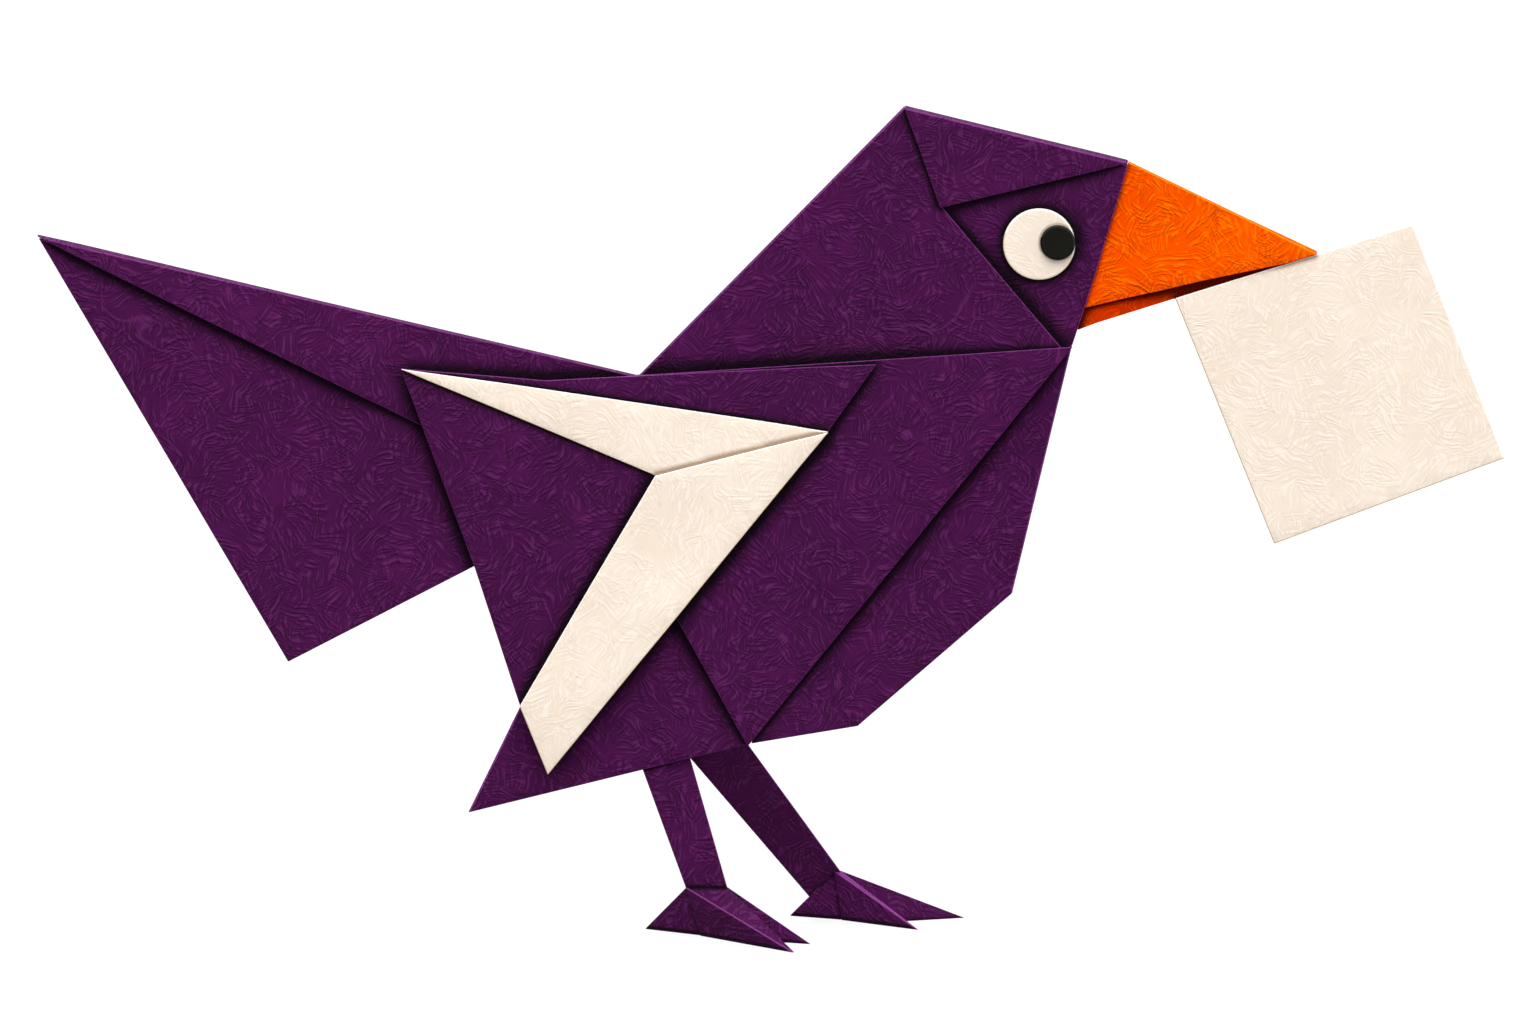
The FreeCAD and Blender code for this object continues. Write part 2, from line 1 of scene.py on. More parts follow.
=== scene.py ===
"""Dress the folded paper bird: rounded and rumpled sheets, paper finishes, studio and camera.

Sizes are in metres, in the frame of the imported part: +X runs towards the beak, -Y towards
the near side and +Z up. The bird stands on the floor at z = 0.
"""

import json
import logging
import math
from collections.abc import Iterable
from dataclasses import dataclass, replace
from enum import Enum

import bpy
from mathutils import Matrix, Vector, noise

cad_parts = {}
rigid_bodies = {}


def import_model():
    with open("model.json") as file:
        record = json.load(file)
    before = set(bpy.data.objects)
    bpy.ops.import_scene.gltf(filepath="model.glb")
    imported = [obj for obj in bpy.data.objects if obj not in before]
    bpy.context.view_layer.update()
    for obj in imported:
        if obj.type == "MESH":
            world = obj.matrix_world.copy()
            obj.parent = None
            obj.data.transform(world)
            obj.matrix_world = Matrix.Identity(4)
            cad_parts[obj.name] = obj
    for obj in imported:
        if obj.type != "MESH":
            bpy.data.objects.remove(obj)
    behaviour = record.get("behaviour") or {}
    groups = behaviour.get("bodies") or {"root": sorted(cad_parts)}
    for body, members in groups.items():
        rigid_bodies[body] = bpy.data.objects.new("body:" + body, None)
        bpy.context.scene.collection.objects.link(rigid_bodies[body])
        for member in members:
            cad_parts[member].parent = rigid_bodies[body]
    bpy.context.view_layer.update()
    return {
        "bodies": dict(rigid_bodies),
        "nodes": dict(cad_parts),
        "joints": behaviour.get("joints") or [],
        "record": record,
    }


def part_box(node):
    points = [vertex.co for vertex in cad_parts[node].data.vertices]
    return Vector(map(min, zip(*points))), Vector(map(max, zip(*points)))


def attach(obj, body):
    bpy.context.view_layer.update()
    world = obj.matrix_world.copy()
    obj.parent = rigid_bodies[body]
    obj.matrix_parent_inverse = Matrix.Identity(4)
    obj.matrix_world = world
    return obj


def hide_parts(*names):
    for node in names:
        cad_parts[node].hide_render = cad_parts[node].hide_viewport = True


Colour = tuple[float, float, float, float]
Point = tuple[float, float, float]
Spot = tuple[float, float]
Step = tuple[float, float]

LOG = logging.getLogger("paper_bird")
BODY = "root"

# Light is taken to come from this way: cut edges that face it are pale rims with painted highlight, and the
# others are hems with painted shade.
TOWARDS_LIGHT = Vector((0.35, 0.0, 0.94))


class Side(Enum):
    """A side of the bird. The value ends the names of the pieces on that side."""

    NEAR = "near"
    FAR = "far"


class Graph:
    """A node tree, with short ways to add nodes and join their sockets."""

    def __init__(self, owner: bpy.types.Material | bpy.types.World) -> None:
        """Start with an empty node tree.

        Args:
            owner: The material or world that the nodes are for.
        """
        owner.use_nodes = True
        self.tree = owner.node_tree
        self.tree.nodes.clear()

    def add(self, kind: str, inputs: dict | None = None, **settings: object) -> bpy.types.Node:
        """Add a node.

        Args:
            kind: The node's type after "ShaderNode".
            inputs: Values or sockets for its inputs, by name or number.
            settings: Values for its properties.

        Returns:
            The new node.
        """
        node = self.tree.nodes.new("ShaderNode" + kind)
        for name, value in settings.items():
            setattr(node, name, value)
        for name, value in (inputs or {}).items():
            if isinstance(value, bpy.types.NodeSocket):
                self.tree.links.new(value, node.inputs[name])
            else:
                node.inputs[name].default_value = value
        return node

    def math(self, operation: str, *values: object) -> bpy.types.NodeSocket:
        """Join numbers or sockets by one sum.

        Args:
            operation: The Math node's operation.
            values: Its inputs in order.

        Returns:
            The result's socket.
        """
        return self.add("Math", dict(enumerate(values)), operation=operation).outputs[0]

    def smooth(self, value: bpy.types.NodeSocket, low: float, high: float) -> bpy.types.NodeSocket:
        """Turn a value into a smooth step from 0 at low to 1 at high.

        Args:
            value: The socket to read.
            low: Where the step starts.
            high: Where the step ends.

        Returns:
            The step's socket.
        """
        step = self.add("MapRange", {"Value": value, "From Min": low, "From Max": high},
                        interpolation_type="SMOOTHSTEP")
        return step.outputs["Result"]

    def noise(self, place: bpy.types.NodeSocket, scale: float, **inputs: float) -> bpy.types.NodeSocket:
        """Add a noise pattern.

        Args:
            place: Where the pattern is read.
            scale: Its features in each metre.
            inputs: Other inputs of the noise, such as Detail and Distortion.

        Returns:
            The pattern's socket, about 0 to 1.
        """
        settings = {"Vector": place, "Scale": scale, **inputs}
        return self.add("TexNoise", settings).outputs["Fac"]

    def moved(self, place: bpy.types.NodeSocket, shift: Point) -> bpy.types.NodeSocket:
        """Shift a place, so that a pattern read there is another stretch of it.

        Args:
            place: The place's socket.
            shift: How far it moves, in metres.

        Returns:
            The shifted place's socket.
        """
        return self.add("Mapping", {"Vector": place, "Location": shift}).outputs[0]

    def blend(self, share: object, first: object, second: object) -> bpy.types.NodeSocket:
        """Mix two colours.

        Args:
            share: How much of the second shows, a number or socket.
            first: The first colour or its socket.
            second: The second colour or its socket.

        Returns:
            The mixed colour's socket.
        """
        mixed = self.add("Mix", {0: share, 6: first, 7: second}, data_type="RGBA")
        return mixed.outputs[2]


@dataclass(frozen=True)
class Strokes:
    """One layer of embossing: patches of short strokes, each patch brushed its own way."""

    patch: float
    length: float
    width: float
    shift: Point
    bow: float = 110.0
    spread: float = 90.0
    fade: Step = (0.75, 0.25)
    contrast: Step = (0.30, 0.70)

    def height(self, graph: Graph, plane: bpy.types.NodeSocket) -> bpy.types.NodeSocket:
        """Draw the strokes.

        Args:
            graph: The material's graph.
            plane: The place on the sheet, in metres along and up.

        Returns:
            Their height, about -1 in a groove to 1 on a ridge.
        """
        here = graph.moved(plane, self.shift)
        patches = graph.add("TexVoronoi", {"Vector": here, "Scale": 1.0 / self.patch},
                            voronoi_dimensions="2D")
        local = graph.add("VectorMath", {0: here, 1: patches.outputs["Position"]}, operation="SUBTRACT")
        draw = graph.add("SeparateColor", {0: patches.outputs["Color"]})
        angle = graph.math("MULTIPLY", draw.outputs[0], math.tau)
        turned = graph.add("VectorRotate", {"Vector": local.outputs[0], "Angle": angle},
                           rotation_type="Z_AXIS")
        spot = graph.add("SeparateXYZ", {0: turned.outputs[0]})
        bend = graph.math("MULTIPLY", graph.math("SUBTRACT", draw.outputs[1], 0.5), self.bow)
        middle = graph.math("MULTIPLY", graph.math("MULTIPLY", spot.outputs[0], spot.outputs[0]), bend)
        across = graph.math("SUBTRACT", spot.outputs[1], middle)
        along = graph.math("MULTIPLY", spot.outputs[0], 1.0 / self.length)
        start = graph.math("MULTIPLY", draw.outputs[2], self.spread)
        aside = graph.math("MULTIPLY_ADD", across, 1.0 / self.width, start)
        brushed = graph.add("CombineXYZ", {0: along, 1: aside}).outputs[0]
        lines = graph.noise(brushed, 1.0, Detail=1.0, Roughness=0.4)
        fade = graph.smooth(patches.outputs["Distance"], *self.fade)
        signed = graph.smooth(lines, *self.contrast)
        return graph.math("MULTIPLY", graph.math("MULTIPLY_ADD", signed, 2.0, -1.0), fade)


STROKES = (
    Strokes(patch=0.0058, length=0.0046, width=0.00050, shift=(0.31, 0.12, 0.0)),
    Strokes(patch=0.0047, length=0.0040, width=0.00040, shift=(0.74, 0.53, 0.0)),
    Strokes(patch=0.0066, length=0.0055, width=0.00060, shift=(0.12, 0.91, 0.0)),
)


@dataclass(frozen=True)
class Pattern:
    """The patterns that all papers share: scales in features in each metre, and where steps lie."""

    cloud_scale: float = 60.0
    cloud_step: Step = (0.35, 0.7)
    grain_scale: float = 1400.0
    grain_height: float = 0.12
    groove_step: Step = (0.0, -0.8)
    ridge_step: Step = (0.2, 1.0)
    speck_scale: float = 700.0
    speck_step: Step = (0.76, 0.84)
    drift_scale: float = 170.0
    drift: Point = (0.0038, 0.0038, 0.0)
    crease_scale: float = 24.0
    crease_step: Step = (0.0045, 0.0)
    stretch_scale: float = 22.0
    stretch_shift: Point = (0.4, 0.2, 0.7)
    stretch_step: Step = (0.58, 0.68)
    shade_samples: int = 16


PATTERN = Pattern()


@dataclass(frozen=True)
class PaperFinish:
    """Embossed handmade paper: a mottled ground and strokes pressed into it, with painted highlight on the
    strokes' ridges, painted shade in their grooves, and painted shade where another sheet lies close over it.

    Cut edges are a lighter rim with painted highlight where they face up, and a hem, darker than the rim, as
    painted shade where they face down.
    """

    name: str
    ground: Colour
    # Darker tone of the random mottle, and painted shade in the strokes' grooves.
    mottle_and_groove_shade: Colour
    # Painted highlight on the strokes' ridges and on the creases.
    ridge: Colour
    # Cut-edge colour with painted highlight, on edges that face the light.
    rim: Colour
    # Cut-edge colour with painted shade, on edges that face away from the light.
    hem: Colour
    # Colour of the specks, and of the painted shade where another sheet lies close over.
    speck_and_painted_shade: Colour
    relief: float
    # How strongly the painted groove shade and ridge highlight show.
    painted_relief_share: float
    swell: float = 0.6
    speck: float = 0.0
    roughness: float = 0.9
    gloss: float = 0.1
    # Strength, reach and end of the painted shade near other sheets.
    shade: float = 0.92
    shade_reach: float = 0.0045
    shade_end: float = 0.80

    def material(self) -> bpy.types.Material:
        """Return the finish's material, made once."""
        made = bpy.data.materials.get(self.name)
        return made or self.make()

    def make(self) -> bpy.types.Material:
        """Build the material's nodes and return the material."""
        material = bpy.data.materials.new(self.name)
        graph = Graph(material)
        place = graph.add("TexCoord").outputs["Object"]
        strokes = self.strokes(graph, place)
        cloud = graph.noise(place, PATTERN.cloud_scale, Detail=4.0, Roughness=0.6)
        grain = graph.noise(place, PATTERN.grain_scale, Detail=2.0)
        mottled = graph.blend(graph.smooth(cloud, *PATTERN.cloud_step), self.mottle_and_groove_shade, self.ground)
        crease = self.creases(graph, place)
        # Painted shade darkens the strokes' grooves, and painted highlight lightens their ridges and the
        # creases, standing in for light on the relief.
        groove = graph.smooth(strokes, *PATTERN.groove_step)
        groove_shaded = graph.blend(graph.math("MULTIPLY", groove, self.painted_relief_share), mottled, self.mottle_and_groove_shade)
        ridge = graph.math("MAXIMUM", graph.smooth(strokes, *PATTERN.ridge_step), crease)
        lit = graph.blend(graph.math("MULTIPLY", ridge, self.painted_relief_share), groove_shaded, self.ridge)
        if self.speck:
            spot = graph.smooth(graph.noise(place, PATTERN.speck_scale, Detail=0.0), *PATTERN.speck_step)
            lit = graph.blend(graph.math("MULTIPLY", spot, self.speck), lit, self.speck_and_painted_shade)
        # Painted shade from nearby sheets goes under the rims. Up-facing cut edges and folds then get the rim
        # colour as painted highlight, and down-facing ones get the hem colour as painted shade.
        edge = graph.add("Attribute", attribute_name="edge").outputs["Fac"]
        rim_highlighted = graph.blend(graph.math("MAXIMUM", edge, 0.0), self.shaded(graph, lit), self.rim)
        hem_shade_share = graph.math("MAXIMUM", graph.math("MULTIPLY", edge, -1.0), 0.0)
        colour = graph.blend(hem_shade_share, rim_highlighted, self.hem)
        height = graph.math("MULTIPLY_ADD", grain, PATTERN.grain_height, graph.math("ADD", strokes, crease))
        height = graph.math("MULTIPLY_ADD", cloud, self.swell, height)
        bump = graph.add("Bump", {"Height": height, "Distance": self.relief, "Strength": 1.0})
        shader = graph.add("BsdfPrincipled", {
            "Base Color": colour,
            "Roughness": self.roughness,
            "Specular IOR Level": self.gloss,
            "Normal": bump.outputs[0],
        })
        graph.add("OutputMaterial", {"Surface": shader.outputs[0]})
        return material

    def strokes(self, graph: Graph, place: bpy.types.NodeSocket) -> bpy.types.NodeSocket:
        """Lay all layers of strokes on the sheet, gently warped.

        Args:
            graph: The material's graph.
            place: Where the pattern is read.

        Returns:
            The strokes' height, about -1 to 1.
        """
        axes = graph.add("SeparateXYZ", {0: place})
        flat = graph.add("CombineXYZ", {0: axes.outputs[0], 1: axes.outputs[2]}).outputs[0]
        drift = graph.add("TexNoise", {"Vector": flat, "Scale": PATTERN.drift_scale, "Detail": 1.0})
        plane = graph.add("VectorMath", {0: drift.outputs["Color"], 1: PATTERN.drift, 2: flat},
                          operation="MULTIPLY_ADD").outputs[0]
        total = STROKES[0].height(graph, plane)
        for layer in STROKES[1:]:
            total = graph.math("ADD", total, layer.height(graph, plane))
        return total

    def creases(self, graph: Graph, place: bpy.types.NodeSocket) -> bpy.types.NodeSocket:
        """Draw a few long, thin creases that wander over the sheet.

        Args:
            graph: The material's graph.
            place: Where the pattern is read.

        Returns:
            The creases' height, 0 to 1.
        """
        course = graph.noise(place, PATTERN.crease_scale, Detail=3.0, Roughness=0.45)
        wander = graph.math("SUBTRACT", course, 0.5)
        line = graph.smooth(graph.math("ABSOLUTE", wander), *PATTERN.crease_step)
        elsewhere = graph.moved(place, PATTERN.stretch_shift)
        stretch = graph.smooth(graph.noise(elsewhere, PATTERN.stretch_scale, Detail=1.0), *PATTERN.stretch_step)
        return graph.math("MULTIPLY", line, stretch)

    def shaded(self, graph: Graph, colour: bpy.types.NodeSocket) -> bpy.types.NodeSocket:
        """Paint shade into the paper's colour where another sheet's edge lies close over it, read from ambient
        occlusion.

        Args:
            graph: The material's graph.
            colour: The paper's colour.

        Returns:
            The colour with the painted shade.
        """
        nearby = graph.add("AmbientOcclusion", {"Distance": self.shade_reach},
                           samples=PATTERN.shade_samples)
        painted_shade_share = graph.add("MapRange", {"Value": nearby.outputs["AO"], "From Min": 1.0,
                                         "From Max": self.shade_end, "To Max": self.shade})
        return graph.blend(painted_shade_share.outputs["Result"], colour, self.speck_and_painted_shade)


PURPLE = PaperFinish(
    name="purple_embossed_paper",
    ground=(0.069, 0.0049, 0.0645, 1.0),
    mottle_and_groove_shade=(0.051, 0.0032, 0.0475, 1.0),
    ridge=(0.118, 0.017, 0.112, 1.0),
    rim=(0.190, 0.036, 0.190, 1.0),
    hem=(0.098, 0.012, 0.095, 1.0),
    speck_and_painted_shade=(0.001, 0.0, 0.001, 1.0),
    relief=0.00011,
    painted_relief_share=0.6,
)
LEG_PURPLE = replace(PURPLE, name="purple_leg_paper", shade=0.85, shade_reach=0.001, shade_end=0.85)
ORANGE = PaperFinish(
    name="orange_embossed_paper",
    ground=(0.96, 0.106, 0.0, 1.0),
    mottle_and_groove_shade=(0.90, 0.075, 0.0, 1.0),
    ridge=(1.0, 0.165, 0.001, 1.0),
    rim=(1.0, 0.21, 0.005, 1.0),
    hem=(0.80, 0.06, 0.0, 1.0),
    speck_and_painted_shade=(0.20, 0.006, 0.0, 1.0),
    relief=0.00008,
    painted_relief_share=0.85,
    gloss=0.0,
    shade=0.6,
)
# The lower beak's paper: darker and redder than the upper beak's orange, partly its own colour and partly
# painted shade for its place inside the beak.
RED_ORANGE = PaperFinish(
    name="red_orange_embossed_paper",
    ground=(0.80, 0.048, 0.0, 1.0),
    mottle_and_groove_shade=(0.65, 0.032, 0.0, 1.0),
    ridge=(0.92, 0.08, 0.001, 1.0),
    rim=(0.95, 0.11, 0.003, 1.0),
    hem=(0.70, 0.035, 0.0, 1.0),
    speck_and_painted_shade=(0.05, 0.002, 0.0, 1.0),
    relief=0.00007,
    painted_relief_share=0.6,
    gloss=0.0,
)
CREAM = PaperFinish(
    name="cream_mottled_paper",
    ground=(0.900, 0.785, 0.675, 1.0),
    mottle_and_groove_shade=(0.855, 0.725, 0.600, 1.0),
    ridge=(0.950, 0.860, 0.765, 1.0),
    rim=(1.0, 0.96, 0.90, 1.0),
    hem=(0.66, 0.49, 0.32, 1.0),
    speck_and_painted_shade=(0.30, 0.17, 0.09, 1.0),
    relief=0.000021,
    painted_relief_share=0.65,
    speck=0.1,
    gloss=0.05,
    shade=0.8,
    shade_reach=0.0014,
)
EYE_CREAM = PaperFinish(
    name="crumpled_cream_paper",
    ground=(0.93, 0.83, 0.725, 1.0),
    mottle_and_groove_shade=(0.83, 0.70, 0.575, 1.0),
    ridge=(0.97, 0.90, 0.82, 1.0),
    rim=(1.0, 0.96, 0.90, 1.0),
    hem=(0.80, 0.66, 0.50, 1.0),
    speck_and_painted_shade=(0.20, 0.10, 0.05, 1.0),
    relief=0.000018,
    painted_relief_share=0.25,
    swell=22.0,
    shade=0.5,
    shade_reach=0.0006,
)
BLACK = PaperFinish(
    name="black_matt_paper",
    ground=(0.0105, 0.010, 0.008, 1.0),
    mottle_and_groove_shade=(0.008, 0.0078, 0.0065, 1.0),
    ridge=(0.013, 0.013, 0.011, 1.0),
    rim=(0.030, 0.030, 0.027, 1.0),
    hem=(0.006, 0.006, 0.005, 1.0),
    speck_and_painted_shade=(0.002, 0.002, 0.002, 1.0),
    relief=0.00001,
    painted_relief_share=0.2,
    gloss=0.05,
)


def select_only(piece: bpy.types.Object) -> None:
    """Make a piece the only selected and the active object."""
    bpy.ops.object.select_all(action="DESELECT")
    piece.select_set(True)
    bpy.context.view_layer.objects.active = piece


@dataclass(frozen=True)
class Curl:
    """A free edge that stands away from the sheet below it, given from end to end seen from the side."""

    start: Spot
    end: Spot
    lift: float
    reach: float

    def outward(self, x: float, z: float) -> float:
        """Tell how far the sheet stands out at a place.

        Args:
            x: The place along the bird.
            z: Its height.

        Returns:
            The distance outwards.
        """
        start = Vector(self.start)
        along = Vector(self.end) - start
        share = max(0.0, min(1.0, (Vector((x, z)) - start).dot(along) / along.length_squared))
        off = (Vector((x, z)) - start - along * share).length
        rest = max(0.0, 1.0 - off / self.reach)
        return self.lift * rest * rest * (3.0 - 2.0 * rest)


FLANK_CURL = Curl((-0.0205, 0.066), (-0.0062, 0.0405), lift=0.0005, reach=0.012)
WING_CURLS = (
    Curl((-0.0740, 0.1160), (-0.0503, 0.0477), lift=0.0010, reach=0.022),
    Curl((-0.0447, 0.0337), (0.0114, 0.1033), lift=0.0004, reach=0.014),
    Curl((0.0210, 0.1168), (0.0114, 0.1033), lift=0.0007, reach=0.010),
)
FLAP_CURL = Curl((-0.1380, 0.1385), (-0.0860, 0.1130), lift=0.0009, reach=0.012)
NECK_CURL = Curl((0.0370, 0.1450), (0.0500, 0.1300), lift=0.0004, reach=0.009)
CREST_CURL = Curl((0.0640, 0.1545), (0.0370, 0.1490), lift=0.0006, reach=0.008)
BEAK_CURL = Curl((0.0800, 0.1318), (0.1091, 0.1386), lift=0.0011, reach=0.012)


@dataclass(frozen=True)
class Dip:
    """A shallow hollow in a sheet's top edge: what stands higher than `under` comes down."""

    middle: float
    half_width: float
    depth: float
    under: float

    def fall(self, x: float, z: float) -> float:
        """Tell how far the sheet's edge comes down at a place.

        Args:
            x: The place along the bird.
            z: Its height.

        Returns:
            The distance down.
        """
        share = max(0.0, 1.0 - abs(x - self.middle) / self.half_width)
        return self.depth * share * share * (3.0 - 2.0 * share) if z > self.under else 0.0


NO_DIP = Dip(middle=0.0, half_width=1.0, depth=0.0, under=0.0)
NECK_DIPS = {
    Side.NEAR: NO_DIP,
    Side.FAR: Dip(middle=-0.0285, half_width=0.022, depth=0.0014, under=0.1120),
}


@dataclass
class Sheet:
    """One paper piece: its packed form with soft rims, cut finer and gently rumpled."""

    node: str
    slot: str
    finish: PaperFinish
    rounding: float = 0.00012
    segments: int = 2
    cell: float = 0.003
    sharp_angle: float = math.radians(40)
    rim_width: float = 0.0003
    curls: tuple[Curl, ...] = ()
    dip: Dip = NO_DIP
    rumple: float = 0.00018
    rumple_scale: float = 38.0
    ripple_scale: float = 2.7
    ripple_share: float = 0.4
    full_depth: float = 0.0039
    smooth_angle: float = math.radians(28)

    def build(self, frame: dict) -> bpy.types.Object:
        """Make the piece and hang it on the bird in its node's place.


        Returns:
            The finished piece.
        """
        piece = self.merged_copy(frame["nodes"][self.node])
        self.round_rims(piece)
        self.cut_cells(piece)
        self.rumple_sheet(piece)
        self.dress(piece)
        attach(piece, BODY)
        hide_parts(self.node)
        LOG.info("%s: %d faces", piece.name, len(piece.data.polygons))
        return piece

    def merged_copy(self, node: bpy.types.Object) -> bpy.types.Object:
        """Copy a node's mesh, join its loose triangles and clear lines inside flat faces.

        Args:
            node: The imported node.

        Returns:
            A new piece of whole flat faces.
        """
        piece = bpy.data.objects.new(f"{self.node}_paper", node.data.copy())
        bpy.context.scene.collection.objects.link(piece)
        piece.data.materials.clear()
        select_only(piece)
        bpy.ops.mesh.customdata_custom_splitnormals_clear()
        bpy.ops.object.mode_set(mode="EDIT")
        bpy.ops.mesh.select_all(action="SELECT")
        bpy.ops.mesh.remove_doubles(threshold=1e-6)
        bpy.ops.mesh.dissolve_limited(angle_limit=math.radians(0.5))
        bpy.ops.object.mode_set(mode="OBJECT")
        return piece

    def round_rims(self, piece: bpy.types.Object) -> None:
        """Round every cut edge and mark the narrow faces there: 1 facing up, for painted highlight, -1 facing
        down, for painted shade.

        Args:
            piece: The piece to round.
        """
        bpy.ops.object.mode_set(mode="EDIT")
        bpy.ops.mesh.select_mode(type="EDGE")
        bpy.ops.mesh.select_all(action="DESELECT")
        bpy.ops.mesh.edges_select_sharp(sharpness=self.sharp_angle)
        bpy.ops.mesh.bevel(offset=self.rounding, segments=self.segments, affect="EDGES",
                           clamp_overlap=False)
        bpy.ops.object.mode_set(mode="OBJECT")
        marks = []
        for face in piece.data.polygons:
            facing = 1.0 if face.normal.dot(TOWARDS_LIGHT) > 0.0 else -1.0
            marks.append(facing if self.is_narrow(piece, face) else 0.0)
        piece.data.attributes.new("edge", "FLOAT", "FACE").data.foreach_set("value", marks)

    def is_narrow(self, piece: bpy.types.Object, face: bpy.types.MeshPolygon) -> bool:
        """Tell whether a face is a strip along a cut edge or a fold.

        Args:
            piece: The piece that the face is on.
            face: The face to judge.

        Returns:
            True where the face is no wider than a rim.
        """
        corners = [piece.data.vertices[index].co for index in face.vertices]
        around = sum((corner - corners[place - 1]).length for place, corner in enumerate(corners))
        return 2.0 * face.area / around < self.rim_width

    def cut_cells(self, piece: bpy.types.Object) -> None:
        """Cut the sheet across its length and height, so that it can bend.

        Args:
            piece: The piece to cut.
        """
        low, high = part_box(self.node)
        bpy.ops.object.mode_set(mode="EDIT")
        for axis in (0, 2):
            cuts = int((high[axis] - low[axis]) / self.cell)
            across = Vector((axis == 0, 0, axis == 2))
            for count in range(1, cuts + 1):
                bpy.ops.mesh.select_all(action="SELECT")
                bpy.ops.mesh.bisect(plane_co=low + across * self.cell * count, plane_no=across)
        bpy.ops.object.mode_set(mode="OBJECT")

    def rumple_sheet(self, piece: bpy.types.Object) -> None:
        """Push the sheet gently out and in, alike through all layers of a side.

        Args:
            piece: The piece to rumple.
        """
        for vertex in piece.data.vertices:
            x, y, z = vertex.co
            wave = noise.noise(Vector((x, 0.0, z)) * self.rumple_scale)
            ripple = noise.noise(Vector((x, 0.5, z)) * self.rumple_scale * self.ripple_scale)
            depth = max(-1.0, min(1.0, y / self.full_depth))
            lift = sum(curl.outward(x, z) for curl in self.curls)
            vertex.co.y += depth * self.rumple * (wave + self.ripple_share * ripple) + math.copysign(lift, y)
            vertex.co.z -= self.dip.fall(x, z)

    def dress(self, piece: bpy.types.Object) -> None:
        """Give the piece its material and smooth its rounded rims.

        Args:
            piece: The piece to dress.
        """
        piece.data.materials.append(self.finish.material())
        select_only(piece)
        bpy.ops.object.shade_smooth_by_angle(angle=self.smooth_angle)


@dataclass
class Body:
    """The body's sheets: neck, flanks, breast and rump."""

    folded: tuple[str, ...] = ("breast", "rump")

    def build(self, frame: dict) -> list[bpy.types.Object]:
        """Make the body's sheets.


        Returns:
            The finished pieces.
        """
        sheets = [Sheet(node, "purple_paper", PURPLE) for node in self.folded]
        sheets.append(Sheet("neck", "purple_paper", PURPLE, curls=(NECK_CURL,)))
        for side in Side:
            sheets.append(Sheet(f"flank_{side.value}", "purple_paper", PURPLE, curls=(FLANK_CURL,),
                                dip=NECK_DIPS[side]))
        return [sheet.build(frame) for sheet in sheets]


@dataclass
class Tail:
    """The tail's folded sheet and the flap folded over its top edge."""

    flap_curls: tuple[Curl, ...] = (FLAP_CURL,)

    def build(self, frame: dict) -> list[bpy.types.Object]:
        """Make the tail's sheets.


        Returns:
            The finished pieces.
        """
        tail = Sheet("tail", "purple_paper", PURPLE)
        flap = Sheet("tail_flap", "purple_paper", PURPLE, curls=self.flap_curls)
        return [tail.build(frame), flap.build(frame)]


@dataclass
class Head:
    """The head's face and crest, the beak and the card it holds."""

    card_rounding: float = 0.00022

    def build(self, frame: dict) -> list[bpy.types.Object]:
        """Make the head's sheets, the beak and the card.


        Returns:
            The finished pieces.
        """
        sheets = [
            Sheet("face", "purple_paper", PURPLE),
            Sheet("crest", "purple_paper", PURPLE, curls=(NECK_CURL, CREST_CURL)),
            Sheet("upper_beak", "orange_paper", ORANGE, curls=(BEAK_CURL,)),
            Sheet("lower_beak", "red_orange_paper", RED_ORANGE, rounding=0.00008),
            Sheet("card", "cream_card", CREAM, rounding=self.card_rounding, segments=3),
        ]
        return [sheet.build(frame) for sheet in sheets]


@dataclass
class Eyes:
    """The punched eye discs and their pupils."""

    rounding: float = 0.0003
    segments: int = 3
    cell: float = 0.001

    def build(self, frame: dict) -> list[bpy.types.Object]:
        """Make the eyes of both sides.


        Returns:
            The finished pieces.
        """
        pieces = []
        for side in Side:
            white = Sheet(f"eye_{side.value}", "eye_paper", EYE_CREAM, rounding=self.rounding,
                          segments=self.segments, cell=self.cell)
            black = Sheet(f"pupil_{side.value}", "black_paper", BLACK, rounding=self.rounding,
                          segments=self.segments, cell=self.cell)
            pieces += [white.build(frame), black.build(frame)]
        return pieces


@dataclass
class Wings:
    """Each side's wing and the two cream bands of its chevron."""

    band_rounding: float = 0.00016
    curls: tuple[Curl, ...] = (FLANK_CURL, *WING_CURLS)

    def build(self, frame: dict) -> list[bpy.types.Object]:
        """Make the wings of both sides.


        Returns:
            The finished pieces.
        """
        sheets = []
        for side in Side:
            sheets.append(Sheet(f"wing_{side.value}", "purple_paper", PURPLE, curls=self.curls,
                                dip=NECK_DIPS[side]))
            for band in ("upper_band", "lower_band"):
                sheets.append(Sheet(f"{band}_{side.value}", "cream_paper", CREAM,
                                    rounding=self.band_rounding, curls=self.curls))
        return [sheet.build(frame) for sheet in sheets]


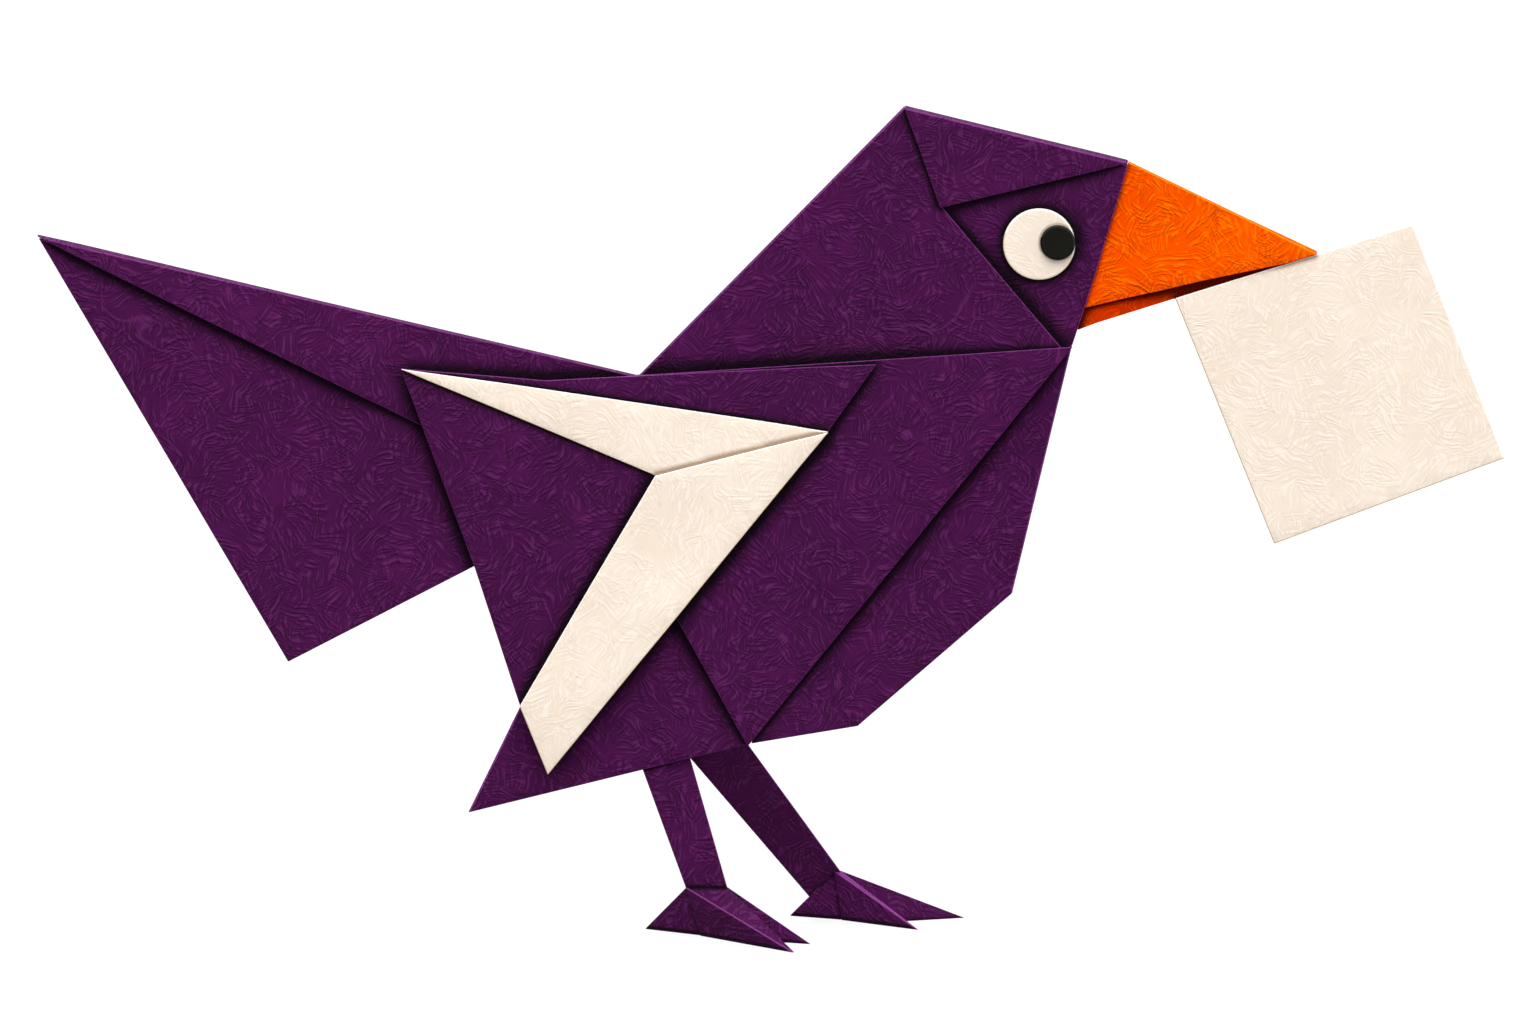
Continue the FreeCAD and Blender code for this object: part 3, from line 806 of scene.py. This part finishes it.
@dataclass
class Legs:
    """The paper legs and the folded feet."""

    cell: float = 0.002
    foot_rounding: float = 0.00012
    foot_sharp_angle: float = math.radians(12)
    leg_tuck: float = 0.0005

    def build(self, frame: dict) -> list[bpy.types.Object]:
        """Make the legs and feet of both sides.


        Returns:
            The finished pieces.
        """
        pieces = []
        for side in Side:
            leg = Sheet(f"leg_{side.value}", "purple_paper", LEG_PURPLE, cell=self.cell, rumple=0.0)
            foot = Sheet(f"foot_{side.value}", "purple_paper", LEG_PURPLE, rounding=self.foot_rounding,
                         cell=self.cell, rumple=0.0, sharp_angle=self.foot_sharp_angle)
            pieces += [self.tucked(leg.build(frame)), foot.build(frame)]
        return pieces

    def tucked(self, leg: bpy.types.Object) -> bpy.types.Object:
        """Draw a leg out a little, so that its cut end reaches down to the foot's folded edge.

        Args:
            leg: The leg.

        Returns:
            The same leg.
        """
        heights = [vertex.co.z for vertex in leg.data.vertices]
        top = max(heights)
        stretch = 1.0 + self.leg_tuck / (top - min(heights))
        for vertex in leg.data.vertices:
            vertex.co.z = top - (top - vertex.co.z) * stretch
        return leg


@dataclass
class Studio:
    """A white floor, soft light from above and in front, and the camera."""

    floor_width: float = 9.0
    floor_dim: Colour = (0.25, 0.25, 0.25, 1.0)
    floor_pale: Colour = (0.9, 0.9, 0.9, 1.0)
    floor_white_share: float = 0.8
    air: float = 0.42
    key_strength: float = 2.9
    back_strength: float = 2.4
    fill_strength: float = 0.75
    fill_elevation: float = math.radians(4)
    key_softness: float = math.radians(50)
    key_elevation: float = math.radians(56)
    target: Point = (-0.00064, 0.0, 0.0859)
    elevation: float = math.radians(10)
    lens: float = 900.0
    sensor: float = 36.0
    view_width: float = 0.3072

    def build(self) -> None:
        """Make the floor, the light and the camera."""
        self.make_floor()
        self.make_air()
        self.make_sun("key", self.key_strength, self.key_elevation, 1.0)
        self.make_sun("back", self.back_strength, self.key_elevation, -1.0)
        self.make_sun("fill", self.fill_strength, self.fill_elevation, 1.0)
        self.make_sun("back_fill", self.fill_strength, self.fill_elevation, -1.0)
        self.make_camera()
        bpy.context.scene.view_settings.view_transform = "Standard"

    def seen(self, graph: Graph) -> bpy.types.NodeSocket:
        """Tell the rays that show the background from those that light the object.

        Args:
            graph: The node graph that asks.

        Returns:
            A socket of 1 for camera, glossy and transmission rays.
        """
        path = graph.add("LightPath")
        shiny = graph.math("MAXIMUM", path.outputs["Is Glossy Ray"], path.outputs["Is Transmission Ray"])
        return graph.math("MAXIMUM", path.outputs["Is Camera Ray"], shiny)

    def make_floor(self) -> None:
        """Make the pale floor, which looks white and keeps a soft shadow."""
        bpy.ops.object.select_all(action="DESELECT")
        bpy.ops.mesh.primitive_plane_add(size=self.floor_width, location=(0.0, 0.0, 0.0))
        floor = bpy.context.object
        floor.name = "floor"
        paint = bpy.data.materials.new("white_floor")
        graph = Graph(paint)
        seen = self.seen(graph)
        dim = graph.add("BsdfDiffuse", {"Color": graph.blend(seen, self.floor_dim, self.floor_pale)})
        white = graph.add("Emission", {"Color": (1.0, 1.0, 1.0, 1.0), "Strength": 1.0})
        share = graph.math("MULTIPLY", seen, self.floor_white_share)
        mixed = graph.add("MixShader", {0: share, 1: dim.outputs[0], 2: white.outputs[0]})
        graph.add("OutputMaterial", {"Surface": mixed.outputs[0]})
        floor.data.materials.append(paint)

    def make_air(self) -> None:
        """Make the even light from all round, seen as white."""
        world = bpy.data.worlds.new("studio_air")
        bpy.context.scene.world = world
        graph = Graph(world)
        soft = graph.add("Background", {"Color": (1.0, 1.0, 1.0, 1.0), "Strength": self.air})
        white = graph.add("Background", {"Color": (1.0, 1.0, 1.0, 1.0), "Strength": 1.0})
        mixed = graph.add("MixShader", {0: self.seen(graph), 1: soft.outputs[0], 2: white.outputs[0]})
        graph.add("OutputWorld", {"Surface": mixed.outputs[0]})

    def make_sun(self, name: str, strength: float, elevation: float, side: float) -> None:
        """Hang a soft lamp to one side.

        Args:
            name: The lamp's name.
            strength: Its strength.
            elevation: How high it stands.
            side: 1 in front of the bird, -1 behind it.
        """
        lamp = bpy.data.lights.new(name, "SUN")
        lamp.energy = strength
        lamp.angle = self.key_softness
        sun = bpy.data.objects.new(name, lamp)
        bpy.context.scene.collection.objects.link(sun)
        sun.location = (0.0, -0.5 * side, 1.0)
        sun.rotation_euler = (side * (math.pi / 2 - elevation), 0.0, 0.0)

    def make_camera(self) -> None:
        """Set the camera at the photograph's angle, far off with a long lens."""
        data = bpy.data.cameras.new("camera")
        data.lens = self.lens
        data.sensor_width = self.sensor
        camera = bpy.data.objects.new("camera", data)
        bpy.context.scene.collection.objects.link(camera)
        distance = self.view_width * self.lens / self.sensor
        back = Vector((0.0, -math.cos(self.elevation), math.sin(self.elevation)))
        camera.location = Vector(self.target) + back * distance
        camera.rotation_euler = (math.pi / 2 - self.elevation, 0.0, 0.0)
        data.clip_end = 100.0
        bpy.context.scene.camera = camera


def main() -> None:
    """Build the dressed bird and its studio."""
    logging.basicConfig(level=logging.INFO, format="%(name)s: %(message)s")
    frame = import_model()
    for part in (Tail(), Body(), Head(), Eyes(), Wings(), Legs()):
        pieces = part.build(frame)
        LOG.info("%s: %d pieces", type(part).__name__, len(pieces))
    Studio().build()


if __name__ == "__main__":
    main()
